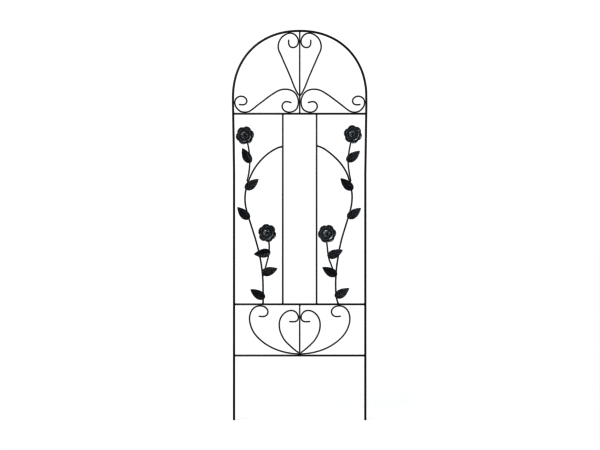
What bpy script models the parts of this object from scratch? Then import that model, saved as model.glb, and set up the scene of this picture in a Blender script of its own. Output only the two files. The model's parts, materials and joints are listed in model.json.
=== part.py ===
"""Metal trellis arch: a flat, welded rod panel for climbing plants.

Metres, +Z up. The origin is on the ground line, midway between the legs. Every rod lies in
the plane y = 0, and the sheet-metal leaves and roses are on the front, facing -Y.
The object has no moving parts: each piece stops WELD_GAP short of the one it is welded to.
"""

import math

import bmesh
import bpy
import numpy as np

# Driving dimensions.
HEIGHT = 1.500  # ground line to the outside of the arch
LEG_SPREAD = 0.505  # between the legs' centrelines, up to FLARE_START
ARCH_SPREAD = 0.513  # between them at the spring of the arch
FLARE_START = 0.950
FLARE_STEPS = 12
ARCH_RISE = 0.258  # spring of the arch to its top
ARCH_FULLNESS = 2.15  # a superellipse's exponent: 2 is a plain ellipse
TOP_BAR_Z = 1.178
MID_BAR_Z = 0.445
LOW_BAR_Z = 0.248
UPRIGHT_SPREAD = 0.130

# Rod diameters.
FRAME_ROD = 0.0070
CROSSBAR_ROD = 0.0060
UPRIGHT_ROD = 0.0050
SCROLL_ROD = 0.0045
VINE_ROD = 0.0050  # a vine's main stem; its rose stems are of SCROLL_ROD

# Sheet-metal leaves and roses.
LEAF_LENGTH = 0.063
LEAF_WIDTH = 0.033
LEAF_SHEET = 0.0010
LEAF_CUP = 0.0025  # how far a leaf's edges stand in front of its midrib
LEAF_BEND = 0.0030  # how far its tip stands in front of its base
LEAF_BASE = 0.60  # exponents of its outline: smaller is rounder
LEAF_TIP = 0.95
LEAF_STATIONS = (0.05, 0.16, 0.32, 0.50, 0.68, 0.86)  # along it
LEAF_LINES = (-1, -0.5, 0, 0.5, 1)  # across it
CREASE = math.radians(40)  # sheet metal is smooth up to this bend

PETAL_SHEET = 0.0010
OPEN_BOWL = ((0.30, 0.15), (0.65, 0.50), (1.0, 1.0))  # rings: shares of radius and depth
CLOSED_BOWL = ((0.45, 0.17), (1.0, 0.52), (0.90, 0.84), (0.64, 1.0))
ROSE_LAYERS = (  # name, radius, petals, depth, turn of its petals, bowl, depth of the notches
    ("outer_petals", 0.0345, 6, 0.0090, 0.0, OPEN_BOWL, 0.16),
    ("middle_petals", 0.0260, 5, 0.0140, 25.0, OPEN_BOWL, 0.16),
    ("inner_petals", 0.0170, 4, 0.0165, 60.0, CLOSED_BOWL, 0.05),
)
NOTCH_SINK = 1.6  # how much more a notch takes off a bowl's depth than off its radius
PETAL_STEPS = 5
BUD_RADIUS = 0.0085
BUD_EYE = 0.0025
BUD_TURNS = 1.6
BUD_STEPS = 20
BUD_TOP = 0.0235
BUD_DROP = 0.0060  # from the strip's inner end to its outer end
BUD_TAPER = 0.9

WELD_GAP = 0.0003
APEX_Z = HEIGHT - FRAME_ROD / 2
SPRING_Z = APEX_Z - ARCH_RISE
FRONT_OF_VINE = -(VINE_ROD / 2 + WELD_GAP)

# How finely the curved rods are divided.
BEND_STEP = math.radians(20)
SAGITTA = 0.0002
ROD_RESOLUTION = 2  # eight sides

# Each scroll is one rod, drawn by the points it bends through: millimetres outwards from the
# centre rod, and up from the bar or the arch that carries it.
FAN_SCROLL = (  # up from the top of the arch
    (4.8, -246), (18, -221), (37, -173.5), (56.5, -130), (73, -91), (80.5, -74),
    (82.6, -58), (79.5, -42.5), (71, -27), (56, -14.5), (37.5, -8.2), (21.5, -12.5),
    (10.2, -23.5), (4.9, -39), (7.3, -51.5), (16, -61.3), (27, -64), (37, -60),
    (41.8, -51), (42.2, -34),
)
ARCH_SCROLL = (  # up from the top crossbar
    (31.5, 42.5), (43, 45.4), (53, 46.5), (62.3, 41.5), (67.5, 30), (64.8, 19),
    (56, 9.8), (41, 5.7), (26, 8.7), (12.8, 18), (6.4, 33), (4.9, 48),
    (8.6, 64), (17.5, 79.5), (34, 90.5), (56, 94.3), (76, 91), (95, 81.5),
    (133.5, 54.8), (172, 25), (187, 13.5), (198, 7.6), (210.5, 5.7), (226, 8.4),
    (239, 18.2), (247.6, 31.5), (249.8, 45), (245, 58), (234, 65.6), (223, 67.2),
    (211.5, 63), (204.2, 53.5), (204.6, 43), (211, 36.3), (222, 34.4), (233.5, 35.8),
)
BASE_SCROLL = (  # up from the low crossbar
    (3.1, 5.6), (17, 6.6), (36, 8.8), (55, 12.4), (74.5, 17.6), (94, 24.6), (113, 33.6),
    (132, 45), (151, 59.8), (169.5, 79), (182, 98.5), (189.4, 118), (192.8, 136.5),
    (192.2, 152), (187.8, 167), (180, 179), (168, 187.8), (151.5, 191.3), (135, 187),
    (125, 178), (122.2, 167), (126.4, 156.6), (136, 150.6), (147.5, 150), (158, 151.2),
)
HEART_SCROLL = (  # up from the low crossbar
    (5, 11.4), (17, 20), (36, 36.8), (55, 55.6), (68.5, 77), (76.3, 98), (78.5, 117.5),
    (76.3, 136), (69, 151.5), (57.5, 164), (44, 171.4), (30, 173.2), (17, 168.6),
    (8.2, 158.5), (4.9, 146), (9, 135.4), (17.5, 130.6), (29, 130), (40.5, 130.8),
)

# Each vine: a main stem and two rose stems, millimetres outwards from the centre and up from
# the mid crossbar; then the roses and the leaves that sit on them. The two vines were bent by
# hand, so they aren't quite mirror images.
VINES = {
    "left": {
        "side": -1,
        "main": (
            (68.6, 606), (80, 603.4), (95, 596.6), (114, 585.2), (133.5, 569.8), (152, 551),
            (168, 531), (181, 510), (191, 489), (198.6, 470), (205, 449), (209.4, 425),
            (210.4, 402), (208.4, 381), (204, 360), (196.6, 334), (180, 283), (168, 243.5),
            (158.5, 208), (148.5, 158), (144.2, 125), (141.6, 90), (140.6, 50), (141, 3.5),
        ),
        "upper": (
            (202.4, 474), (198.8, 488), (196.2, 506), (192.8, 528), (192.2, 548),
            (193.2, 571), (195.4, 594), (199.4, 615), (208.5, 645),
        ),
        "lower": (
            (138.1, 112), (134.6, 130), (129, 149), (123.8, 170), (119.4, 190), (117.2, 213),
            (118.2, 238), (124, 268),
        ),
        "roses": {"upper": (210.4, 649, 10), "lower": (125, 274, 40)},
        "leaves": (
            (189, 545, 60.5), (209, 444, 143.5), (194, 329, 44.5),
            (113, 201, -7), (146, 120, 163.5), (135, 24.5, 31.5),
        ),
    },
    "right": {
        "side": 1,
        "main": (
            (68.6, 609), (80, 605), (98, 595.6), (118, 580.8), (137.5, 563.4), (156.6, 543),
            (173, 519.5), (183.8, 498.4), (190.6, 477), (195.8, 456), (199.8, 436),
            (201.5, 416.5), (200.9, 397), (198.3, 378), (193.8, 358.5), (187, 334.5),
            (172.4, 288.5), (159, 241), (152.6, 212), (147.4, 182), (141, 133), (138.8, 100),
            (138.4, 68), (139.4, 42), (142.4, 21), (147.3, 4.2),
        ),
        "upper": (
            (196.8, 473), (194, 486), (191.4, 500), (188.6, 520), (186.4, 544), (187.6, 570),
            (190.8, 594), (194.8, 615), (202.6, 648),
        ),
        "lower": (
            (134.6, 112), (130.8, 127), (124.2, 143), (116.8, 162), (111, 182), (107.8, 205),
            (105.2, 228), (104.2, 244), (104.8, 266),
        ),
        "roses": {"upper": (204.2, 653, -20), "lower": (105, 271.5, 5)},
        "leaves": (
            (181, 551, 37.7), (204, 441.5, 137.5), (184, 333, 36),
            (107.5, 184, 23.5), (142.5, 112, 151), (136, 29, 31.5),
        ),
    },
}

# Base colour, roughness and metallic value of the black powder coat on each kind of piece.
COATS = {
    "frame_coat": ((0.011, 0.013, 0.016), 0.40, 0.0),
    "crossbar_coat": ((0.012, 0.014, 0.017), 0.42, 0.0),
    "scroll_coat": ((0.012, 0.014, 0.017), 0.42, 0.0),
    "vine_coat": ((0.011, 0.013, 0.015), 0.45, 0.0),
    "leaf_coat": ((0.014, 0.016, 0.018), 0.38, 0.0),
    "rose_coat": ((0.020, 0.022, 0.024), 0.34, 0.0),
}


def clear_scene():
    for obj in list(bpy.data.objects):
        bpy.data.objects.remove(obj)


def coat(name):
    """The powder coat of that name, made once."""
    if name in bpy.data.materials:
        return bpy.data.materials[name]
    colour, roughness, metallic = COATS[name]
    material = bpy.data.materials.new(name)
    material.use_nodes = True
    shader = material.node_tree.nodes["Principled BSDF"]
    shader.inputs["Base Color"].default_value = (*colour, 1)
    shader.inputs["Roughness"].default_value = roughness
    shader.inputs["Metallic"].default_value = metallic
    return material


def place(name, data, parent, location=(0, 0, 0), turn=0.0):
    """Adds an object to the scene, turned by some degrees as seen from the front."""
    obj = bpy.data.objects.new(name, data)
    obj.parent = parent
    obj.location = location
    obj.rotation_euler = (0, -math.radians(turn), 0)
    bpy.context.scene.collection.objects.link(obj)
    return obj


def smooth_curve(points, steps=10):
    """Close points on the natural cubic spline through a few chosen points."""
    points = np.array(points, float)
    gaps = np.linalg.norm(np.diff(points, axis=0), axis=1)
    slopes = np.diff(points, axis=0) / gaps[:, None]
    matrix = np.eye(len(points))
    right = np.zeros_like(points)
    for i in range(1, len(points) - 1):
        matrix[i, i - 1 : i + 2] = gaps[i - 1], 2 * (gaps[i - 1] + gaps[i]), gaps[i]
        right[i] = 6 * (slopes[i] - slopes[i - 1])
    bends = np.linalg.solve(matrix, right)
    curve = []
    for i, gap in enumerate(gaps):
        for share in np.arange(steps) / steps:
            after, before = share * gap, (1 - share) * gap
            line = points[i] * (1 - share) + points[i + 1] * share
            sag = bends[i] * (before**3 - gap * gap * before)
            sag = sag + bends[i + 1] * (after**3 - gap * gap * after)
            curve.append(line + sag / (6 * gap))
    return [*curve, points[-1]]


def thinned(curve):
    """The curve's points that a rod needs, by how much and how far it bends between them."""
    kept = [curve[0]]
    start = curve[1] - curve[0]
    for i in range(1, len(curve) - 1):
        heading = curve[i + 1] - curve[i]
        cosine = np.dot(start, heading) / (np.linalg.norm(start) * np.linalg.norm(heading))
        bend = math.acos(min(1, max(-1, cosine)))
        length = np.linalg.norm(curve[i] - kept[-1])
        if bend >= BEND_STEP or bend * length / 8 >= SAGITTA:
            kept.append(curve[i])
            start = heading
    return [*kept, curve[-1]]


def rod(name, path, diameter, coat_name, parent, location=(0, 0, 0)):
    """A round rod with square-cut ends along (x, z) points."""
    data = bpy.data.curves.new(name, "CURVE")
    data.dimensions = "3D"
    data.bevel_depth = diameter / 2
    data.bevel_resolution = ROD_RESOLUTION
    data.use_fill_caps = True
    spline = data.splines.new("POLY")
    spline.points.add(len(path) - 1)
    for point, (x, z) in zip(spline.points, path):
        point.co = (x, 0, z, 1)
    data.materials.append(coat(coat_name))
    return place(name, data, parent, location)


def bent_rod(name, points_mm, side, z, diameter, coat_name, parent):
    """A scroll or stem: mirrored by side, and measured up from height z."""
    curve = smooth_curve([(side * out / 1000, up / 1000) for out, up in points_mm])
    return rod(name, thinned(curve), diameter, coat_name, parent, (0, 0, z))


def leg_x(z):
    """How far out a leg's centreline is at height z."""
    share = min(max((z - FLARE_START) / (SPRING_Z - FLARE_START), 0), 1)
    flare = share * share * (3 - 2 * share)
    return (LEG_SPREAD + (ARCH_SPREAD - LEG_SPREAD) * flare) / 2


def arch_point(angle):
    """A point of the arch's centreline; angle runs from 0 at the right-hand spring."""
    power = 2 / ARCH_FULLNESS
    across = math.copysign(abs(math.cos(angle)) ** power, math.cos(angle))
    return np.array((ARCH_SPREAD / 2 * across, SPRING_Z + ARCH_RISE * math.sin(angle) ** power))


def make_frame(parent):
    """One rod: up the left leg, round the arch and down the right leg."""
    heights = np.linspace(FLARE_START, SPRING_Z, FLARE_STEPS, endpoint=False)
    flare = [(leg_x(z), z) for z in heights]
    leg = [np.array(point) for point in ((leg_x(0), 0), *flare)]
    arch = [arch_point(math.radians(angle)) for angle in range(0, 181, 2)]
    mirror = np.array((-1, 1))
    curve = [point * mirror for point in leg] + arch[::-1] + leg[::-1]
    rod("outer_frame", thinned(curve), FRAME_ROD, "frame_coat", parent)


def make_bars(parent):
    """The crossbars between the legs, and the straight rods between the crossbars."""
    for name, z in (("top", TOP_BAR_Z), ("mid", MID_BAR_Z), ("low", LOW_BAR_Z)):
        reach = leg_x(z - CROSSBAR_ROD / 2) - FRAME_ROD / 2 - WELD_GAP
        rod(f"{name}_crossbar", ((-reach, 0), (reach, 0)), CROSSBAR_ROD, "crossbar_coat",
            parent, (0, 0, z))
    inset = CROSSBAR_ROD / 2 + WELD_GAP
    bay = TOP_BAR_Z - MID_BAR_Z - 2 * inset
    for name, side in (("left", -1), ("right", 1)):
        rod(f"inner_upright_{name}", ((0, 0), (0, bay)), UPRIGHT_ROD, "crossbar_coat",
            parent, (side * UPRIGHT_SPREAD / 2, 0, MID_BAR_Z + inset))
    under_arch = APEX_Z - FRAME_ROD / 2 - WELD_GAP
    for name, foot, head in (
        ("arch_centre_rod", TOP_BAR_Z + inset, under_arch),
        ("lower_centre_rod", LOW_BAR_Z + inset, MID_BAR_Z - inset),
    ):
        rod(name, ((0, 0), (0, head - foot)), SCROLL_ROD, "scroll_coat", parent, (0, 0, foot))


def make_scrolls(parent):
    for name, points, z in (
        ("fan_scroll", FAN_SCROLL, APEX_Z),
        ("arch_scroll", ARCH_SCROLL, TOP_BAR_Z),
        ("base_scroll", BASE_SCROLL, LOW_BAR_Z),
        ("heart_scroll", HEART_SCROLL, LOW_BAR_Z),
    ):
        for hand, side in (("left", -1), ("right", 1)):
            bent_rod(f"{name}_{hand}", points, side, z, SCROLL_ROD, "scroll_coat", parent)


def skin(rows, wrap):
    """A surface over rows of points; a row of one point draws its neighbours into a fan."""
    mesh = bmesh.new()
    grid = [[mesh.verts.new(point) for point in row] for row in rows]
    for low, high in zip(grid, grid[1:]):
        steps = max(len(low), len(high))
        for j in range(steps if wrap else steps - 1):
            k = (j + 1) % steps
            corners = (low[j % len(low)], low[k % len(low)])
            corners += (high[k % len(high)], high[j % len(high)])
            mesh.faces.new(dict.fromkeys(corners))
    return mesh


def sheet(name, rows, wrap, thickness, coat_name, parent, location=(0, 0, 0), turn=0.0):
    """Sheet metal that grows from its back surface, which the rows give, towards the front."""
    surface = skin(rows, wrap)
    bmesh.ops.recalc_face_normals(surface, faces=surface.faces)
    if sum(face.normal.y * face.calc_area() for face in surface.faces) > 0:
        bmesh.ops.reverse_faces(surface, faces=surface.faces)
    data = bpy.data.meshes.new(name)
    surface.to_mesh(data)
    surface.free()
    data.shade_smooth()
    data.set_sharp_from_angle(angle=CREASE)
    data.materials.append(coat(coat_name))
    obj = place(name, data, parent, location, turn)
    solid = obj.modifiers.new("sheet", "SOLIDIFY")
    solid.thickness = thickness
    solid.offset = 1
    return obj


def leaf_rows():
    """A leaf along +X from its base: round at the base, pointed at the tip, cupped forwards."""
    widest = LEAF_BASE / (LEAF_BASE + LEAF_TIP)
    full = widest**LEAF_BASE * (1 - widest) ** LEAF_TIP
    rows = [((0, 0, 0),)]
    for share in LEAF_STATIONS:
        half = LEAF_WIDTH / 2 * share**LEAF_BASE * (1 - share) ** LEAF_TIP / full
        bend = LEAF_BEND * share**2
        row = []
        for across in LEAF_LINES:
            cup = LEAF_CUP * abs(across) * half / (LEAF_WIDTH / 2)
            row.append((LEAF_LENGTH * share, -(bend + cup), across * half))
        rows.append(row)
    rows.append(((LEAF_LENGTH, -LEAF_BEND, 0),))
    return rows


def petal_rows(radius, petals, depth, bowl, notch_depth, seat):
    """A bowl with a scalloped rim, its middle at depth seat in front of the rose's back."""
    rows = [((0, -seat, 0),)]
    steps = petals * PETAL_STEPS
    for ring, (out_share, forward_share) in enumerate(bowl, 1):
        row = []
        for step in range(steps):
            angle = math.tau * step / steps
            between = 1 - abs(math.cos(angle * petals / 2))
            left = 1 - notch_depth * (ring / len(bowl)) ** 2 * between
            out = radius * out_share * left
            forward = seat + depth * forward_share * left**NOTCH_SINK
            row.append((out * math.cos(angle), -forward, out * math.sin(angle)))
        rows.append(row)
    return rows


def bud_rows(seat):
    """The rolled heart of a rose: a strip wound in a spiral, standing in the innermost bowl."""
    bowl_radius, bowl_deep = ROSE_LAYERS[-1][1], ROSE_LAYERS[-1][3]
    ring_out, ring_forward = zip((0, 0), *CLOSED_BOWL[:2])
    foot, head = [], []
    for step in range(BUD_STEPS + 1):
        share = step / BUD_STEPS
        angle = math.tau * BUD_TURNS * share
        out = BUD_EYE + (BUD_RADIUS - BUD_EYE) * share
        x, z = out * math.cos(angle), out * math.sin(angle)
        clear = (out + PETAL_SHEET) / bowl_radius
        floor = seat + bowl_deep * np.interp(clear, ring_out, ring_forward)
        foot.append((x, -floor, z))
        head.append((BUD_TAPER * x, -(BUD_TOP - BUD_DROP * share), BUD_TAPER * z))
    return foot, head


def make_rose(name, x, z, turn, parent):
    """Three nested bowls of petals and a rolled bud, on the front of a rose stem's end."""
    rose = place(name, None, parent, (x, FRONT_OF_VINE, z), turn)
    seat = 0.0
    for layer, radius, petals, depth, petal_turn, bowl, notch in ROSE_LAYERS:
        rows = petal_rows(radius, petals, depth, bowl, notch, seat)
        sheet(f"{name}_{layer}", rows, True, PETAL_SHEET, "rose_coat", rose, turn=petal_turn)
        seat += PETAL_SHEET + WELD_GAP
    foot, head = bud_rows(seat + WELD_GAP)
    bud = sheet(f"{name}_bud", (foot, head), False, PETAL_SHEET, "rose_coat", rose)
    bud.modifiers["sheet"].offset = 0


def make_vine(hand, vine, parent):
    side = vine["side"]
    name = f"vine_stem_{hand}"
    bent_rod(name, vine["main"], side, MID_BAR_Z, VINE_ROD, "vine_coat", parent)
    for level, (out, up, turn) in vine["roses"].items():
        name = f"{level}_rose_stem_{hand}"
        bent_rod(name, vine[level], side, MID_BAR_Z, SCROLL_ROD, "vine_coat", parent)
        make_rose(f"{level}_rose_{hand}", side * out / 1000, MID_BAR_Z + up / 1000, turn, parent)
    for number, (out, up, angle) in enumerate(vine["leaves"], 1):
        location = (side * out / 1000, FRONT_OF_VINE, MID_BAR_Z + up / 1000)
        turn = angle if side > 0 else 180 - angle
        sheet(f"leaf_{hand}_{number}", leaf_rows(), False, LEAF_SHEET, "leaf_coat",
              parent, location, turn)


def main():
    clear_scene()
    trellis = place("trellis_arch", None, None)
    make_frame(trellis)
    make_bars(trellis)
    make_scrolls(trellis)
    for hand, vine in VINES.items():
        make_vine(hand, vine, trellis)


main()
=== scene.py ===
"""The looks of the metal trellis arch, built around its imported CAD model.

Every rod is swept again, round and smooth, along the centreline of its CAD rod. The leaves and
roses are formed from sheet metal in the place of their plain CAD shapes, and weld beads join the
pieces where the CAD leaves its weld gaps. Metres, +Z up, and the front faces -Y.
"""

import itertools
import json
import math
import random

import bmesh
import bpy
import numpy as np
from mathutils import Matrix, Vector, noise


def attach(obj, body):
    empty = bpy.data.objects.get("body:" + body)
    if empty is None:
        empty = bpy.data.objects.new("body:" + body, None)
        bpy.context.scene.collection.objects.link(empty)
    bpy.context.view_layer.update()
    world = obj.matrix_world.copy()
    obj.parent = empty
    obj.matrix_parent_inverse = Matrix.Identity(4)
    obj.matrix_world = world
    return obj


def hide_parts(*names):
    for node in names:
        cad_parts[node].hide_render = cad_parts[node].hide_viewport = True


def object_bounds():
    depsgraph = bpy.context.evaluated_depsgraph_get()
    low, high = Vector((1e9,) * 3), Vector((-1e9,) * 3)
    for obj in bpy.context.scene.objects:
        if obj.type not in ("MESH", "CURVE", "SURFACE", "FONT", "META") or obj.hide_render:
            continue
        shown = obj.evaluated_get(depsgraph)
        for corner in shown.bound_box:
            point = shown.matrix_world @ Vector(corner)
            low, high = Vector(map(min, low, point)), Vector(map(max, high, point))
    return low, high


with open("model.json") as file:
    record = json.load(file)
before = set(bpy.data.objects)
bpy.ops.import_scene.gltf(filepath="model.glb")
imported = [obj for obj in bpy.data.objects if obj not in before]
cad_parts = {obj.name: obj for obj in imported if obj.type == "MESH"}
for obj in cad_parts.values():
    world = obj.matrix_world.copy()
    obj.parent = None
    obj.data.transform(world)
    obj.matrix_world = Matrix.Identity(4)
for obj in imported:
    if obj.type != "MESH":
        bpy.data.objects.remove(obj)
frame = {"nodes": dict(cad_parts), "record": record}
cad_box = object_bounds()
nodes = frame["nodes"]
slots = {part["node"]: part["material_slot"] for part in frame["record"]["subparts"]}

FRONT = np.array((0.0, -1.0, 0.0))
UP = np.array((0.0, 0.0, 1.0))
PANEL = np.array((1.0, 0.0, 1.0))  # times a point: its place in the plane of the panel, y = 0
MM = 0.001

# Rods.
SAME_PLACE = 2e-6  # vertices of a CAD mesh that are this close are one
SHARP = math.radians(70)  # the least angle at the edge of a rod's cut end
CURVE_STEP = 1 * MM
ROD_SIDES = 20
ROD_TURN = math.radians(4)  # most bend between two rings
ROD_SAGITTA = 0.015 * MM  # most distance between a rod's curve and its chords
STRAIGHT_RUN = 40 * MM  # a run between CAD rings that is longer than this is straight
STRAIGHT_STEP = 12 * MM
END_ROUNDING = 0.5 * MM
END_RINGS = ((0.0, 1.0), (0.3, 0.3))  # how far along and inwards, as shares of the rounding
WELD_REACH = 1.5 * MM  # how far a welded end is taken into its neighbour
MOST_WELD_GAP = 1.1 * MM
CONTACT_BREAK = 5  # curve points apart, two contacts of the same rods are separate
END_POINTS = 3  # how many curve points at either end of a rod count as its end
END_FACING = 0.8  # least cosine between a rod's end and the way to what it's welded to

# Weld beads: half their length, width and height, or part of that. A collar goes round a rod's
# end and stands out from it by COLLAR.
BEAD_RIPPLE = 0.06  # as a share of a bead's size, as is the next
BEAD_LUMPS = 0.16
SEAM_BEAD = (4.2 * MM, 1.7 * MM)
SEAM_HEIGHT = 0.95  # times the thinner rod's radius
COLLAR = 0.9 * MM
COLLAR_HALF_LENGTH = 1.9 * MM
COLLAR_INSET = 0.3 * MM  # how far back from the rod's tip its middle is
LEAF_BEAD = (3.4 * MM, 1.7 * MM, 1.1 * MM)
ROSE_BEAD = (5.0 * MM, 4.2 * MM, 2.0 * MM)
ROSE_BEAD_INSET = 0.2 * MM  # from the rose's back to the middle of its bead

# Sheet metal.
LEAF_SHEET = 0.9 * MM
PETAL_SHEET = 0.8 * MM
RIM_REACH = 0.30 * MM  # how far a sheet's rounded rim stands out past its grid
RIM_ANGLES = [math.radians(a) for a in (35, 70, 110, 145)]


# Materials.

DUST = (0.09, 0.09, 0.085, 1)
CLOUD_SCALE = 38.0  # noise cells to a metre, here and in the next two
PEEL_SCALE = 650.0
GRAIN_SCALE = 2600.0
PEEL_DEPTH = 0.12 * MM
GRAIN_DEPTH = 0.03 * MM
GRAIN_STRENGTH = 0.25
CLOUD_RANGE = (0.35, 0.68)  # the noise values of a coat's dark and light tones
LESS_ROUGH = -0.07  # from a coat's own roughness, where the clouds are lowest
MORE_ROUGH = 0.09

# For each coat: its dark and light tones, roughness, specular level, and how strong its orange
# peel and its dust are.
COATS = {
    "frame_coat": ((0.0070, 0.0085, 0.0110), (0.0115, 0.0135, 0.0165), 0.42, 0.40, 0.55, 0.25),
    "crossbar_coat": ((0.0072, 0.0088, 0.0112), (0.0118, 0.0138, 0.0168), 0.43, 0.40, 0.55, 0.25),
    "scroll_coat": ((0.0072, 0.0088, 0.0112), (0.0120, 0.0140, 0.0170), 0.44, 0.40, 0.60, 0.20),
    "vine_coat": ((0.0070, 0.0085, 0.0108), (0.0115, 0.0135, 0.0162), 0.45, 0.40, 0.60, 0.20),
    "leaf_coat": ((0.0165, 0.0195, 0.0235), (0.0265, 0.0308, 0.0360), 0.34, 0.28, 0.45, 0.15),
    # The rose coat's dark and light tones are the black coat painted much lighter: a painted sheen
    # that stands in for the highlights on the petals.
    "rose_coat": ((0.0390, 0.0445, 0.0500), (0.0640, 0.0720, 0.0785), 0.37, 0.95, 0.40, 0.20),
}


def add(tree, kind, **values):
    """A shader node. Each value goes to the input of its name, or else to the property.

    Underscores in the name of an input are spaces.
    """
    node = tree.nodes.new(kind)
    for name, value in values.items():
        socket = name.replace("_", " ")
        if socket in node.inputs:
            node.inputs[socket].default_value = value
        else:
            setattr(node, name, value)
    return node


def ramp(tree, source, low, high, dark, light):
    """Maps a noise value between low and high to colours between dark and light."""
    colours = add(tree, "ShaderNodeValToRGB")
    colours.color_ramp.elements[0].position = low
    colours.color_ramp.elements[1].position = high
    colours.color_ramp.elements[0].color = (*dark, 1)
    colours.color_ramp.elements[1].color = (*light, 1)
    tree.links.new(source, colours.inputs["Fac"])
    return colours.outputs["Color"]


def powder_coat(name, dark, light, roughness, specular, peel, dust):
    """Black powder coat: cloudy tone, orange peel, fine grain and a little dust on top."""
    material = bpy.data.materials.new(name)
    material.use_nodes = True
    tree = material.node_tree
    links = tree.links
    shader = tree.nodes["Principled BSDF"]
    shader.inputs["Metallic"].default_value = 0.0
    shader.inputs["IOR"].default_value = 1.5
    shader.inputs["Specular IOR Level"].default_value = specular
    shader.inputs["Coat Weight"].default_value = 0.3 * specular
    shader.inputs["Coat Roughness"].default_value = 0.25

    place = add(tree, "ShaderNodeTexCoord").outputs["Object"]
    clouds = add(tree, "ShaderNodeTexNoise", Scale=CLOUD_SCALE, Detail=5.0, Roughness=0.6)
    grain = add(tree, "ShaderNodeTexNoise", Scale=GRAIN_SCALE, Detail=2.0)
    peel_noise = add(tree, "ShaderNodeTexNoise", Scale=PEEL_SCALE, Detail=3.0, Roughness=0.55)
    for texture in (clouds, grain, peel_noise):
        links.new(place, texture.inputs["Vector"])

    tone = ramp(tree, clouds.outputs["Fac"], *CLOUD_RANGE, dark, light)

    # Dust settles on what faces up, in patches.
    facing = add(tree, "ShaderNodeNewGeometry").outputs["Normal"]
    up = add(tree, "ShaderNodeSeparateXYZ")
    links.new(facing, up.inputs["Vector"])
    settled = add(tree, "ShaderNodeMath", operation="MULTIPLY", use_clamp=True)
    links.new(up.outputs["Z"], settled.inputs[0])
    links.new(clouds.outputs["Fac"], settled.inputs[1])
    amount = add(tree, "ShaderNodeMath", operation="MULTIPLY", use_clamp=True)
    links.new(settled.outputs[0], amount.inputs[0])
    amount.inputs[1].default_value = dust
    dusty = add(tree, "ShaderNodeMixRGB", Color2=DUST)
    links.new(amount.outputs[0], dusty.inputs["Fac"])
    links.new(tone, dusty.inputs["Color1"])
    links.new(dusty.outputs["Color"], shader.inputs["Base Color"])

    sheen = add(tree, "ShaderNodeMapRange")
    sheen.inputs["To Min"].default_value = roughness + LESS_ROUGH
    sheen.inputs["To Max"].default_value = roughness + MORE_ROUGH
    links.new(clouds.outputs["Fac"], sheen.inputs["Value"])
    links.new(sheen.outputs["Result"], shader.inputs["Roughness"])

    fine = add(tree, "ShaderNodeBump", Strength=GRAIN_STRENGTH, Distance=GRAIN_DEPTH)
    links.new(grain.outputs["Fac"], fine.inputs["Height"])
    rolling = add(tree, "ShaderNodeBump", Strength=peel, Distance=PEEL_DEPTH)
    links.new(peel_noise.outputs["Fac"], rolling.inputs["Height"])
    links.new(fine.outputs["Normal"], rolling.inputs["Normal"])
    links.new(rolling.outputs["Normal"], shader.inputs["Normal"])
    return material


coats = {slot: powder_coat(slot.replace("_", " "), *look) for slot, look in COATS.items()}


# Pieces and meshes.


def add_piece(name, data, slot, replaced=()):
    """Puts a finished mesh into the scene as a piece of the one rigid body."""
    data.materials.append(coats[slot])
    data.shade_smooth()
    piece = bpy.data.objects.new(name, data)
    bpy.context.scene.collection.objects.link(piece)
    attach(piece, "root")
    if replaced:
        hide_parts(*replaced)


def mesh_data(name, mesh):
    """The finished mesh, out of bmesh."""
    data = bpy.data.meshes.new(name)
    mesh.to_mesh(data)
    mesh.free()
    return data


def node_points(name):
    """The CAD node's vertices."""
    return np.array([vertex.co for vertex in nodes[name].data.vertices])


def unit(vector):
    """The vector's direction, with a length of 1."""
    return vector / np.linalg.norm(vector)


def natural_spline(points, step):
    """Points about a step apart on the natural cubic spline through the given ones."""
    gaps = np.linalg.norm(np.diff(points, axis=0), axis=1)
    slopes = np.diff(points, axis=0) / gaps[:, None]
    matrix = np.eye(len(points))
    right = np.zeros_like(points)
    for i in range(1, len(points) - 1):
        matrix[i, i - 1 : i + 2] = gaps[i - 1], 2 * (gaps[i - 1] + gaps[i]), gaps[i]
        right[i] = 6 * (slopes[i] - slopes[i - 1])
    bends = np.linalg.solve(matrix, right)
    curve = []
    for i, gap in enumerate(gaps):
        count = max(1, math.ceil(gap / step))
        for share in np.arange(count) / count:
            after, before = share * gap, (1 - share) * gap
            line = points[i] * (1 - share) + points[i + 1] * share
            sag = bends[i] * (before**3 - gap * gap * before)
            sag = sag + bends[i + 1] * (after**3 - gap * gap * after)
            curve.append(line + sag / (6 * gap))
    return np.array([*curve, points[-1]])


def even_points(corners, count):
    """Evenly spaced points on the natural cubic spline through the given ones."""
    curve = natural_spline(corners, 0.05 * MM)
    run = np.append(0, np.cumsum(np.linalg.norm(np.diff(curve, axis=0), axis=1)))
    shares = np.linspace(0, run[-1], count)
    return np.array([np.interp(shares, run, axis) for axis in curve.T]).T


# Rods.


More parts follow.
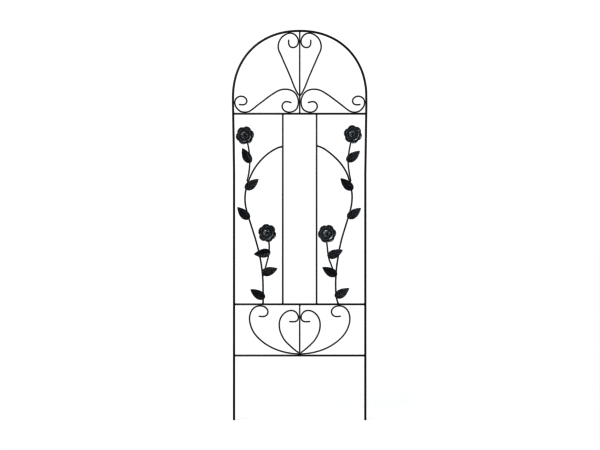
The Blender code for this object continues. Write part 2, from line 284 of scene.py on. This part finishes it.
def cad_rings(name):
    """The rings of vertices along a CAD rod, found from one of its flat ends to the other."""
    mesh = bmesh.new()
    mesh.from_mesh(nodes[name].data)
    bmesh.ops.remove_doubles(mesh, verts=mesh.verts, dist=SAME_PLACE)
    mesh.verts.index_update()
    sharp = {
        edge
        for edge in mesh.edges
        if len(edge.link_faces) == 2 and edge.calc_face_angle(0) > SHARP
    }

    # Sharp edges part the faces into the side and the two flat ends, which are the small groups.
    seen = set()
    flats = []
    for face in mesh.faces:
        if face in seen:
            continue
        seen.add(face)
        flat, waiting = [], [face]
        while waiting:
            here = waiting.pop()
            flat.append(here)
            for edge in here.edges:
                for other in edge.link_faces:
                    if edge not in sharp and other not in seen:
                        seen.add(other)
                        waiting.append(other)
        flats.append(flat)
    end = min(flats, key=len)

    # From there, each ring is every vertex next to the ring before.
    ring = {vertex for face in end for vertex in face.verts}
    found = set(ring)
    rings = []
    while ring:
        in_order = sorted(ring, key=lambda vertex: vertex.index)
        rings.append(np.array([vertex.co for vertex in in_order]))
        ring = {
            edge.other_vert(vertex)
            for vertex in ring
            for edge in vertex.link_edges
            if edge.other_vert(vertex) not in found
        }
        found |= ring
    mesh.free()
    return rings


def with_straight_runs(centres):
    """The centres, with more of them along each long run, which keep a spline straight there."""
    points = [centres[0]]
    for here, there in zip(centres, centres[1:]):
        length = np.linalg.norm(there - here)
        steps = math.ceil(length / STRAIGHT_STEP) if length > STRAIGHT_RUN else 1
        points += [here + (there - here) * step / steps for step in range(1, steps + 1)]
    return np.array(points)


class Rod:
    """A CAD rod's centreline, close points along it, and its radius."""

    def __init__(self, name):
        rings = cad_rings(name)
        self.radius = np.linalg.norm(rings[0] - rings[0].mean(axis=0), axis=1).mean()
        centres = np.array([ring.mean(axis=0) for ring in rings])
        centres[:, 1] = 0
        self.curve = natural_spline(with_straight_runs(centres), CURVE_STEP)

    def distance(self, point):
        """How far a point is from this rod's centreline."""
        return np.linalg.norm(self.curve - point, axis=1).min()


def lengthened(rod, others):
    """The rod's curve, with each end that stops short of another rod taken into it."""
    curve = rod.curve
    for _ in range(2):  # one end, then the other
        ahead = curve[0] + unit(curve[0] - curve[1]) * WELD_REACH
        if any(other.distance(ahead) < other.radius for other in others):
            curve = np.vstack((ahead, curve))
        curve = curve[::-1]
    return curve


def thinned(curve):
    """Only the points that the curve's bends need."""
    kept = [curve[0]]
    start = unit(curve[1] - curve[0])
    for i in range(1, len(curve) - 1):
        heading = unit(curve[i + 1] - curve[i])
        turn = math.acos(min(1, np.dot(start, heading)))
        if turn >= ROD_TURN or turn * np.linalg.norm(curve[i] - kept[-1]) / 8 >= ROD_SAGITTA:
            kept.append(curve[i])
            start = heading
    return np.array([*kept, curve[-1]])


def rod_rings(curve, radius):
    """(centre, direction, radius) of each ring of a rod, with its cut ends rounded off."""
    ways = [unit(way) for way in np.gradient(curve, axis=0)]
    first, last = ways[0] * END_ROUNDING, -ways[-1] * END_ROUNDING
    start = [
        (curve[0] + first * along, ways[0], radius - END_ROUNDING * inwards)
        for along, inwards in END_RINGS
    ]
    stop = [
        (curve[-1] + last * along, ways[-1], radius - END_ROUNDING * inwards)
        for along, inwards in reversed(END_RINGS)
    ]
    centres = [curve[0] + first, *curve[1:-1], curve[-1] + last]
    return start + [(centre, way, radius) for centre, way in zip(centres, ways)] + stop


def tube_mesh(name, curve, radius):
    """A round rod along a curve in the plane y = 0."""
    mesh = bmesh.new()
    angles = math.tau * np.arange(ROD_SIDES) / ROD_SIDES
    loops = []
    for centre, along, size in rod_rings(curve, radius):
        side = np.cross(along, FRONT)
        places = [centre + size * (math.cos(a) * FRONT + math.sin(a) * side) for a in angles]
        loops.append([mesh.verts.new(place) for place in places])
    for low, high in zip(loops, loops[1:]):
        for j in range(ROD_SIDES):
            k = (j + 1) % ROD_SIDES
            mesh.faces.new((low[j], low[k], high[k], high[j]))
    mesh.faces.new(loops[0][::-1])
    mesh.faces.new(loops[-1])
    bmesh.ops.recalc_face_normals(mesh, faces=mesh.faces)
    return mesh_data(name, mesh)


def is_rod(name):
    """Whether a CAD node is a rod, and so neither a leaf nor a part of a rose."""
    return not name.endswith(("petals", "bud")) and not name.startswith("leaf")


def make_rods():
    """Every rod's piece; returns the rods by name."""
    rods = {name: Rod(name) for name in sorted(nodes) if is_rod(name)}
    for name, rod in rods.items():
        others = [other for other in rods.values() if other is not rod]
        curve = thinned(lengthened(rod, others))
        add_piece(f"{name}_rod", tube_mesh(name, curve, rod.radius), slots[name], [name])
    return rods


# Weld beads.


def add_bead(mesh, centre, along, half_sizes, seed):
    """A lump of weld metal: half_sizes are along the bead, across it and to the front."""
    across = np.cross(FRONT, along)
    made = bmesh.ops.create_icosphere(mesh, subdivisions=3, radius=1.0)["verts"]
    for vertex in made:
        way = vertex.co.copy()
        ripple = BEAD_RIPPLE * math.sin(9 * way.x + seed)
        lump = BEAD_LUMPS * noise.noise(way * 2.1 + Vector((seed, seed * 0.7, 0)))
        swell = 1 + ripple + lump
        offset = along * way.x * half_sizes[0]
        offset = offset + across * way.y * half_sizes[1] + FRONT * way.z * half_sizes[2]
        vertex.co = Vector(centre + offset * swell)


def contacts(first, second):
    """(place on the first rod's curve, place on the second's) wherever they nearly touch."""
    reach = first.radius + second.radius + MOST_WELD_GAP
    away = np.linalg.norm(first.curve[:, None] - second.curve[None], axis=2)
    nearest = away.min(axis=1)
    close = np.flatnonzero(nearest < reach)
    runs = np.split(close, np.flatnonzero(np.diff(close) > CONTACT_BREAK) + 1)
    for run in runs:
        if len(run):
            i = run[nearest[run].argmin()]
            yield i, away[i].argmin()


def ends_on(rod, i, point):
    """Whether place i on the rod's curve is at one of its ends, and that end faces the point."""
    if i < END_POINTS:
        outwards = unit(rod.curve[0] - rod.curve[1])
    elif i >= len(rod.curve) - END_POINTS:
        outwards = unit(rod.curve[-1] - rod.curve[-2])
    else:
        return False
    return abs(np.dot(outwards, unit(point - rod.curve[i]))) > END_FACING


def add_collar(mesh, rod, tip, point, seed):
    """Weld metal round the rod's tip, where it ends on another rod at the given point."""
    along = unit(point - tip)
    size = rod.radius + COLLAR
    half_sizes = (COLLAR_HALF_LENGTH, size, size)
    add_bead(mesh, tip - along * COLLAR_INSET, along, half_sizes, seed)


def add_seam(mesh, first, second, here, there, seed):
    """A bead in the groove between two rods that run past each other."""
    along = np.cross(FRONT, unit(there - here))
    height = min(first.radius, second.radius) * SEAM_HEIGHT
    add_bead(mesh, (here + there) / 2, along, (*SEAM_BEAD, height), seed)


def make_rod_welds(rods):
    """A bead in each groove where two rods touch, and a collar where one ends on another."""
    mesh = bmesh.new()
    seed = 0
    for first, second in itertools.combinations([rods[name] for name in sorted(rods)], 2):
        for i, j in contacts(first, second):
            seed += 1
            here, there = first.curve[i], second.curve[j]
            if ends_on(first, i, there):
                add_collar(mesh, first, here, there, seed)
            elif ends_on(second, j, here):
                add_collar(mesh, second, there, here, seed)
            else:
                add_seam(mesh, first, second, here, there, seed)
    add_piece("weld_beads", mesh_data("weld_beads", mesh), "scroll_coat")


# Leaves and roses.


def sheet_normals(points):
    """The unit normals of a grid of points."""
    across = np.gradient(points, axis=1)
    along = np.gradient(points, axis=0)
    normals = np.cross(across, along)
    return normals / np.linalg.norm(normals, axis=2, keepdims=True)


def rim_of(rows, columns):
    """The places in a grid of its outer points, in order round it."""
    rim = [(0, j) for j in range(columns - 1)]
    rim += [(i, columns - 1) for i in range(rows - 1)]
    rim += [(rows - 1, j) for j in range(columns - 1, 0, -1)]
    return rim + [(i, 0) for i in range(rows - 1, 0, -1)]


def add_sheet(mesh, grid, thickness):
    """Closed sheet metal over a grid of points, with a rounded rim."""
    points = np.array(grid, dtype=float)
    normals = sheet_normals(points)
    half = thickness / 2
    front = [[mesh.verts.new(point) for point in row] for row in points + normals * half]
    back = [[mesh.verts.new(point) for point in row] for row in points - normals * half]
    for i in range(len(front) - 1):
        for j in range(len(front[0]) - 1):
            places = ((i, j), (i, j + 1), (i + 1, j + 1), (i + 1, j))
            mesh.faces.new([front[a][b] for a, b in places])
            mesh.faces.new([back[a][b] for a, b in reversed(places)])
    rim = rim_of(len(front), len(front[0]))
    hoops = []
    for k, (i, j) in enumerate(rim):
        before, after = points[rim[k - 1]], points[rim[(k + 1) % len(rim)]]
        outwards = unit(np.cross(after - before, normals[i, j]))
        hoop = [front[i][j]]
        for angle in RIM_ANGLES:
            offset = outwards * RIM_REACH * math.sin(angle)
            offset = offset + normals[i, j] * half * math.cos(angle)
            hoop.append(mesh.verts.new(points[i, j] + offset))
        hoops.append(hoop + [back[i][j]])
    for one, other in zip(hoops, hoops[1:] + hoops[:1]):
        for k in range(len(one) - 1):
            mesh.faces.new((one[k], one[k + 1], other[k + 1], other[k]))


def sheet_piece(name, grids, node, thickness):
    """One piece of sheet metal over each of the grids, in the place of a CAD node."""
    mesh = bmesh.new()
    for grid in grids:
        add_sheet(mesh, grid, thickness)
    add_piece(name, mesh_data(name, mesh), slots[node], [node])


LEAF_ROWS = 74
LEAF_COLUMNS = 35
LEAF_VEINS = 6
LEAF_CUP = 1.3 * MM
LEAF_BEND = 3.0 * MM
LEAF_SAG = 1.4 * MM
LEAF_TWIST = 0.7 * MM
LEAF_EDGE_WAVE = 0.5 * MM  # of its edge, forwards and back
LEAF_MARGIN_WAVE = 0.30 * MM  # of its outline
LEAF_GROOVE = 0.75 * MM  # along the midrib, with a ridge on either side
LEAF_RIDGES = 0.40 * MM
LEAF_PILLOWS = 0.90 * MM
LEAF_DENTS = 0.30 * MM
TIP_HALF_WIDTH = 0.35 * MM
EASED_HALF_WIDTH = 4 * MM  # waves and twist die down where a leaf's half-width is less


def leaf_ends(points):
    """(base, tip) of a CAD leaf: its two farthest points, the base at the rounder end."""
    away = np.linalg.norm(points[:, None] - points[None], axis=2)
    first, second = np.unravel_index(away.argmax(), away.shape)
    widths = []
    for end, other in ((points[first], points[second]), (points[second], points[first])):
        along = unit(other - end)
        share = (points - end) @ along / np.linalg.norm(other - end)
        aside = np.linalg.norm(points - end - np.outer((points - end) @ along, along), axis=1)
        widths.append(aside[share < 0.2].max())
    ends = points[first], points[second]
    return ends if widths[0] > widths[1] else ends[::-1]


def leaf_outline(share):
    """A leaf's half-width along its length, 1 at its widest."""
    round_base, sharp_tip = 0.58, 0.98
    widest = round_base / (round_base + sharp_tip)
    full = widest**round_base * (1 - widest) ** sharp_tip
    return share**round_base * (1 - share) ** sharp_tip / full


def leaf_relief(share, across, seed):
    """How far the pressing stands forwards: a creased midrib, and pillows between the veins.

    share runs from 0 at the base to 1 at the tip, and across from -1 to 1, edge to edge.
    """
    side = abs(across)
    ends = min(1, share / 0.08) * min(1, (1 - share) / 0.22)
    groove = -LEAF_GROOVE * math.exp(-((side / 0.075) ** 2))
    ridge = LEAF_RIDGES * math.exp(-(((side - 0.2) / 0.1) ** 2))
    vein = (share - 0.26 * side**1.15 - 0.03) * LEAF_VEINS / 0.86
    swelling = (0.5 - 0.5 * math.cos(math.tau * vein)) ** 0.6
    pillow = LEAF_PILLOWS * swelling * min(1, side / 0.14) * (1 - side**6)
    dents = LEAF_DENTS * noise.noise(Vector((share * 9, across * 4.5, seed)))
    return ends * (groove + ridge + pillow + dents)


def leaf_grid(name):
    """A pressed leaf, cupped forwards, with its tip bent forwards and sagging a little."""
    points = node_points(name)
    back = points[:, 1].max()
    base, tip = leaf_ends(points)
    start = base * PANEL
    length = np.linalg.norm((tip - base) * PANEL)
    along = unit((tip - base) * PANEL)
    aside = np.cross(along, FRONT)
    if aside[2] < 0:
        aside = -aside
    sides = (points - base) @ aside
    half_width = (sides.max() - sides.min()) / 2
    chance = random.Random(name)
    phase = chance.uniform(0, math.tau)
    twist = chance.uniform(-LEAF_TWIST, LEAF_TWIST)
    seed = chance.uniform(0, 50)
    grid = []
    for i in range(LEAF_ROWS):
        share = 0.005 + 0.989 * (0.5 - 0.5 * math.cos(math.pi * i / (LEAF_ROWS - 1)))
        half = max(half_width * leaf_outline(share), TIP_HALF_WIDTH)
        ease = min(1, half / EASED_HALF_WIDTH)
        bend = LEAF_BEND * share**2
        edge_wave = LEAF_EDGE_WAVE * math.sin(17 * share + phase) * ease
        sag = -LEAF_SAG * 4 * share * (1 - share)
        row = []
        for across in np.linspace(-1, 1, LEAF_COLUMNS):
            margin_wave = LEAF_MARGIN_WAVE * math.sin(46 * share + phase + 2 * across) * ease
            out = across * (half + margin_wave * across**6)
            cup = LEAF_CUP * abs(across) ** 1.3 * half / half_width
            forward = bend + cup + leaf_relief(share, across, seed)
            forward += twist * across * share * ease + edge_wave * across**4
            point = start + along * length * share + aside * (out + sag)
            row.append(point + FRONT * (LEAF_SHEET / 2 - back + forward))
        grid.append(row)
    return grid


def leaf_weld(grid, stems):
    """(middle, direction) of the weld between a leaf and the stem that passes behind its base."""
    midrib = np.array([row[LEAF_COLUMNS // 2] for row in grid[2 : LEAF_ROWS // 2]])
    found = []
    for stem in stems:
        away = np.linalg.norm((stem.curve[:, None] - midrib[None]) * PANEL, axis=2)
        i, j = np.unravel_index(away.argmin(), away.shape)
        found.append((away[i, j], stem, i, j))
    _, stem, i, j = min(found, key=lambda one: one[0])
    direction = unit(stem.curve[min(i + 2, len(stem.curve) - 1)] - stem.curve[max(i - 2, 0)])
    return (stem.curve[i] + midrib[j]) / 2 + FRONT * stem.radius / 2, direction


def make_leaves(stems):
    """Every leaf, and the beads that weld them to the stems."""
    mesh = bmesh.new()
    for seed, name in enumerate(sorted(node for node in nodes if node.startswith("leaf"))):
        grid = leaf_grid(name)
        sheet_piece(f"{name}_blade", [grid], name, LEAF_SHEET)
        middle, direction = leaf_weld(grid, stems)
        add_bead(mesh, middle, direction, LEAF_BEAD, seed + 0.5)
    add_piece("leaf_weld_beads", mesh_data("leaf_weld_beads", mesh), "vine_coat")


PETAL_COLUMNS = 23
PETAL_ROWS = 26
FIRST_SEAT = 0.9 * MM  # from a rose's back to the foot of its outer petals
SEAT_STEP = 1.2 * MM  # from one layer's foot to the next one's
PETAL_RIPPLE = 0.30 * MM
PETAL_LEAN = 0.3 * MM
PETAL_TURN = 0.06  # the most that a petal is turned from its even place, in radians
TUCK = 2.5  # how much further a petal's covered corners go down than its leading ones

# Dents and folds run on from one petal of a layer to the next, so that neighbours fit.
DENT_DEPTH = 0.7 * MM
DENT_SIZE = 6.5 * MM
FOLD_DEPTH = 0.8 * MM
FOLDS_PER_RADIAN = 5.5
FOLD_LENGTH = 22 * MM

# The rolled heart of the bud.
HEART_TURNS = 2.3
HEART_COLUMNS = 64
HEART_ROWS = 9
HEART_RADIUS = 0.55  # as a share of the bud's
HEART_SEAT = 0.4 * MM  # over the foot of the bud's petals
HEART_RISE = 0.2 * MM  # over their top
HEART_SLOPE = 3.2 * MM  # from its middle down to its outer end
HEART_LIP = 0.5 * MM  # how far its rim curls out
HEART_CURL = 0.315 * MM  # how far the lip turns down

# Petal profiles from foot to rim: (out, forwards) as shares of their layer's radius and height.
OUTER_PROFILE = (
    (0.06, 0.00), (0.30, 0.07), (0.54, 0.28), (0.72, 0.55), (0.79, 0.66), (0.87, 0.74),
    (0.93, 0.88), (0.975, 0.99), (1.0, 0.95), (1.0, 0.80),
)
MIDDLE_PROFILE = (
    (0.08, 0.00), (0.45, 0.14), (0.61, 0.45), (0.74, 0.68), (0.86, 0.81), (0.94, 0.92),
    (0.975, 1.00), (1.0, 0.97), (1.0, 0.87),
)
INNER_PROFILE = (
    (0.12, 0.00), (0.60, 0.08), (0.93, 0.30), (1.0, 0.53), (0.95, 0.74), (0.83, 0.86),
    (0.68, 0.95), (0.57, 1.00), (0.52, 0.97),
)
BUD_PROFILE = (
    (0.20, 0.00), (0.80, 0.10), (1.0, 0.45), (0.98, 0.74), (0.86, 0.90), (0.70, 0.98),
    (0.60, 1.00), (0.56, 0.95),
)

# For each layer: how many petals, how wide each is (at 1 they would only meet), its profile, how
# much its corners are taken in towards the middle and down, and how far its leading edge stands
# over its neighbour.
LAYERS = {
    "outer_petals": (6, 1.22, OUTER_PROFILE, 0.20, 0.10, 1.3 * MM),
    "middle_petals": (5, 1.30, MIDDLE_PROFILE, 0.17, 0.14, 1.4 * MM),
    "inner_petals": (4, 1.45, INNER_PROFILE, 0.05, 0.22, 1.3 * MM),
    "bud": (3, 1.50, BUD_PROFILE, 0.04, 0.16, 0.8 * MM),
}


def petal(profile, turn, reach, notch, droop, lead, seat, seed, chance):
    """One petal's grid: (out along X, forwards, out along Z) in the rose's own place.

    It goes round by reach on either side of turn. Its corners are taken in by notch and down by
    droop, and its leading edge is lifted by lead.
    """
    bulge = chance.uniform(0.9, 1.1)
    lean = chance.uniform(-PETAL_LEAN, PETAL_LEAN)
    phase = chance.uniform(0, math.tau)
    dents = Vector((0, 0, seed))  # where in the noise this layer's dents are
    grid = []
    for step, (out, forward) in enumerate(profile):
        up = step / (len(profile) - 1)
        folds = Vector((0, 0, seed + out / FOLD_LENGTH))
        row = []
        for across in np.linspace(-1, 1, PETAL_COLUMNS):
            angle = turn + reach * across
            way = Vector((math.cos(angle), math.sin(angle), 0))
            dent = DENT_DEPTH * noise.noise(way * out / DENT_SIZE + dents)
            dent += FOLD_DEPTH * noise.noise(way * FOLDS_PER_RADIAN + folds)
            ripple = PETAL_RIPPLE * math.sin(4.5 * across + phase) * up**3
            corner = abs(across) ** 2.6 * bulge * up
            crown = 1 - 0.035 * (1 - math.cos(math.pi * across / 2)) * up
            away = out * (1 - notch * corner) * crown + lead * 0.6 * across * up
            tucked = droop if across > 0 else TUCK * droop
            height = seat + (forward - seat) * (1 - tucked * corner)
            height += (lead * across + lean + dent) * up + ripple
            row.append((away * math.cos(angle), height, away * math.sin(angle)))
        grid.append(row)
    return grid


def rolled_heart(seat, top, radius):
    """The rolled heart: a strip wound in a spiral that rises towards its middle."""
    grid = []
    for level in np.linspace(0, 1, HEART_ROWS):
        lip = HEART_LIP * max(0, level - 0.75) / 0.25
        curl = HEART_CURL * max(0, level - 0.85) / 0.15
        row = []
        for share in np.linspace(0, 1, HEART_COLUMNS):
            angle = math.tau * HEART_TURNS * share
            out = radius * (0.16 + 0.84 * share) * (0.72 + 0.28 * level) + lip
            rim = top - HEART_SLOPE * share**1.5
            height = seat + (rim - seat) * level - curl
            row.append((out * math.cos(angle), height, out * math.sin(angle)))
        grid.append(row)
    return grid


def make_rose(prefix):
    """A rose in the place of its four CAD layers; returns the middle of its back."""
    outer = node_points(f"{prefix}_outer_petals")
    back = outer[:, 1].max()
    low, high = outer.min(axis=0), outer.max(axis=0)
    middle = np.array(((low[0] + high[0]) / 2, back, (low[2] + high[2]) / 2))
    chance = random.Random(prefix)
    seat = FIRST_SEAT
    for layer, (count, overlap, shares, notch, droop, lead) in LAYERS.items():
        name = f"{prefix}_{layer}"
        points = node_points(name) - middle
        spans = np.hypot(points[:, 0], points[:, 2])
        radius = spans.max()
        turn = math.atan2(points[spans.argmax(), 2], points[spans.argmax(), 0])
        top = -points[:, 1].min()
        corners = np.array([(radius * out, 0, seat + (top - seat) * up) for out, up in shares])
        profile = even_points(corners, PETAL_ROWS)[:, (0, 2)]
        seed = chance.uniform(0, 50)
        reach = math.pi / count * overlap
        grids = []
        for number in range(count):
            angle = turn + math.tau * number / count + chance.uniform(-PETAL_TURN, PETAL_TURN)
            grids.append(petal(profile, angle, reach, notch, droop, lead, seat, seed, chance))
        if layer == "bud":
            grids.append(rolled_heart(seat + HEART_SEAT, top + HEART_RISE, radius * HEART_RADIUS))
        placed = [
            [[middle + (x, -forward, z) for x, forward, z in row] for row in grid] for grid in grids
        ]
        sheet_piece(f"{name}_sheet", placed, name, PETAL_SHEET)
        seat += SEAT_STEP
    return middle


def make_roses():
    """Every rose, and the beads behind them that weld them to their stems."""
    mesh = bmesh.new()
    for seed, name in enumerate(sorted(node for node in nodes if node.endswith("_bud"))):
        middle = make_rose(name.removesuffix("_bud"))
        add_bead(mesh, middle + FRONT * ROSE_BEAD_INSET, UP, ROSE_BEAD, seed + 3.1)
    add_piece("rose_weld_beads", mesh_data("rose_weld_beads", mesh), "vine_coat")


# Studio.

WHITE = 1.02  # how bright the floor and what is behind the object look, just past white
AMBIENT = 0.36
FLOOR_REACH = 60.0
FLOOR_TONE = 0.20
FLOOR_GAP = 0.5 * MM  # below the ends of the legs
LENS = 85.0
SENSOR = 36.0
VIEW_WIDTH = 2.3077  # how much of the panel's plane the view takes in
CAMERA_X = 0.0012
CAMERA_Z = 0.750
GAMMA = 0.42  # deepens thin black rods against white

# For each sun: its name, the direction towards it, its strength and its width in degrees.
SUNS = (
    ("key", (-0.47, -0.788, 0.40), 8.0, 45),
    ("fill", (1.6, -2.0, 0.5), 0.3, 40),
    ("back light", (0.45, 0.75, 0.50), 1.2, 60),
)


def make_world():
    """White behind the object, and a dimmer, even light on it."""
    world = bpy.data.worlds.new("studio")
    world.use_nodes = True
    tree = world.node_tree
    tree.nodes.clear()
    seen = add(tree, "ShaderNodeBackground", Color=(1, 1, 1, 1), Strength=WHITE)
    light = add(tree, "ShaderNodeBackground", Color=(0.95, 0.98, 1, 1), Strength=AMBIENT)
    ray = add(tree, "ShaderNodeLightPath")
    mix = add(tree, "ShaderNodeMixShader")
    out = add(tree, "ShaderNodeOutputWorld")
    tree.links.new(ray.outputs["Is Camera Ray"], mix.inputs[0])
    tree.links.new(light.outputs[0], mix.inputs[1])
    tree.links.new(seen.outputs[0], mix.inputs[2])
    tree.links.new(mix.outputs[0], out.inputs["Surface"])
    bpy.context.scene.world = world


def make_floor(z, lit):
    """A pale floor out to the horizon, which glows by what its light leaves short of white."""
    mesh = bmesh.new()
    corners = ((-1, -1), (1, -1), (1, 1), (-1, 1))
    mesh.faces.new([mesh.verts.new((x * FLOOR_REACH, y * FLOOR_REACH, z)) for x, y in corners])
    data = mesh_data("floor", mesh)
    material = bpy.data.materials.new("pale floor")
    material.use_nodes = True
    shader = material.node_tree.nodes["Principled BSDF"]
    shader.inputs["Base Color"].default_value = (FLOOR_TONE, FLOOR_TONE, FLOOR_TONE, 1)
    shader.inputs["Roughness"].default_value = 1.0
    shader.inputs["Specular IOR Level"].default_value = 0.0
    shader.inputs["Emission Color"].default_value = (1, 1, 1, 1)
    shader.inputs["Emission Strength"].default_value = max(0, WHITE - FLOOR_TONE * lit)
    data.materials.append(material)
    floor = bpy.data.objects.new("floor", data)
    bpy.context.scene.collection.objects.link(floor)


def add_sun(name, towards, strength, angle):
    """A soft distant light from a direction; returns what it adds to a white floor."""
    data = bpy.data.lights.new(name, "SUN")
    data.energy = strength
    data.angle = math.radians(angle)
    light = bpy.data.objects.new(name, data)
    towards = Vector(towards).normalized()
    light.rotation_euler = towards.to_track_quat("Z", "Y").to_euler()
    bpy.context.scene.collection.objects.link(light)
    return strength * towards.z / math.pi


def make_camera():
    """Square to the panel and level with its middle."""
    data = bpy.data.cameras.new("camera")
    data.lens = LENS
    data.sensor_width = SENSOR
    camera = bpy.data.objects.new("camera", data)
    camera.location = (CAMERA_X, -VIEW_WIDTH * LENS / SENSOR, CAMERA_Z)
    camera.rotation_euler = (math.radians(90), 0, 0)
    bpy.context.scene.collection.objects.link(camera)
    bpy.context.scene.camera = camera


def make_studio(ground):
    """The camera, a soft key light from the upper left, and white all round."""
    make_camera()
    lit = AMBIENT
    for sun in SUNS:
        lit += add_sun(*sun)
    make_world()
    make_floor(ground - FLOOR_GAP, lit)
    bpy.context.scene.view_settings.view_transform = "Standard"
    bpy.context.scene.view_settings.gamma = GAMMA


rods = make_rods()
make_rod_welds(rods)
make_leaves([rod for name, rod in rods.items() if "stem" in name])
make_roses()
make_studio(cad_box[0].z)
